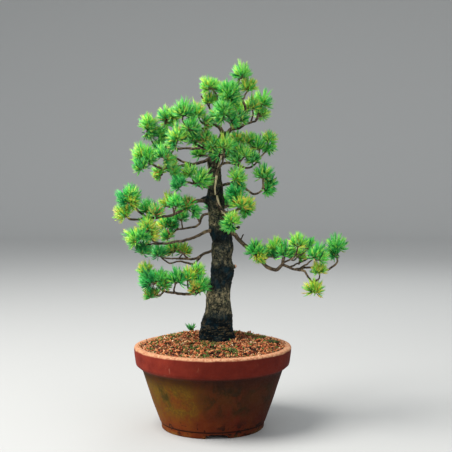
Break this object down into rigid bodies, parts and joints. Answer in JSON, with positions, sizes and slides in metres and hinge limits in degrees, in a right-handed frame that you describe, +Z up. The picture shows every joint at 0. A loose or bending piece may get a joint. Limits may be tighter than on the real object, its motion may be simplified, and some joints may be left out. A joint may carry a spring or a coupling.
{
  "type": "bonsai pine in a pot",
  "caption": "White pine bonsai in a round brick-red clay pot: a flared, tapering trunk, tiered side limbs, tufted pads of short needles, and mulched soil.",
  "frame": {"origin": "on the surface that the pot stands on, under the middle of the whole object's box; the pot's axis is 37.8 mm to the -X side of it", "axes": "+Z up, -Y the front that the tree was trained to be seen from, +X to the viewer's right"},
  "size_m": [0.4692, 0.32, 0.736],
  "materials": {
    "brick_red_clay": "matte",
    "black_plastic": "matte",
    "damp_soil": "matte",
    "bark_chips": "matte",
    "moss": "matte",
    "weed_leaf": "satin",
    "flaky_bark": "matte",
    "limb_bark": "matte",
    "green_needles": "satin",
    "bright_needles": "satin",
    "blue_green_needles": "satin",
    "yellow_green_needles": "satin",
    "dead_needles": "satin"
  },
  "bodies": {
    "root": {"pot": "brick_red_clay", "drain_mesh": "black_plastic", "soil": "damp_soil", "bark_mulch": "bark_chips", "moss_patch": "moss", "back_weed": "weed_leaf", "trunk": "flaky_bark", "crown_left_limb": "limb_bark", "crown_right_limb": "limb_bark", "upper_left_limb": "limb_bark", "upper_left_back_limb": "limb_bark", "shoulder_left_branch": "limb_bark", "shoulder_left_back_branch": "limb_bark", "second_left_branch": "limb_bark", "third_left_back_branch": "limb_bark", "third_left_branch": "limb_bark", "fourth_left_branch": "limb_bark", "lowest_left_branch": "limb_bark", "long_right_branch": "limb_bark", "long_right_branch_end": "limb_bark", "middle_right_branch": "limb_bark", "upper_right_branch": "limb_bark", "shoulder_right_branch": "limb_bark", "middle_back_branch": "limb_bark", "upper_back_branch": "limb_bark", "apex_needles": "green_needles", "crown_front_needles": "green_needles", "crown_left_top_needles": "bright_needles", "crown_right_needles": "green_needles", "crown_left_needles": "green_needles", "upper_left_back_needles": "blue_green_needles", "upper_left_mid_needles": "bright_needles", "upper_left_front_needles": "yellow_green_needles", "far_left_needles": "bright_needles", "left_hanging_needles": "dead_needles", "shoulder_left_needles": "green_needles", "trunk_front_needles": "green_needles", "upper_trunk_needles": "bright_needles", "upper_right_front_needles": "bright_needles", "upper_right_needles": "green_needles", "shoulder_right_front_needles": "bright_needles", "shoulder_right_needles": "green_needles", "middle_right_needles": "yellow_green_needles", "second_left_tip_needles": "yellow_green_needles", "second_left_middle_needles": "green_needles", "second_left_inner_needles": "yellow_green_needles", "third_left_back_needles": "green_needles", "third_left_needles": "yellow_green_needles", "fourth_left_needles": "blue_green_needles", "lowest_left_tip_needles": "blue_green_needles", "lowest_left_inner_needles": "green_needles", "long_right_inner_needles": "green_needles", "long_right_middle_needles": "bright_needles", "long_right_outer_needles": "green_needles", "long_right_low_needles": "yellow_green_needles", "long_right_tip_needles": "green_needles", "middle_back_needles": "green_needles", "upper_back_needles": "green_needles", "crown_back_needles": "green_needles"}
  },
  "joints": []
}
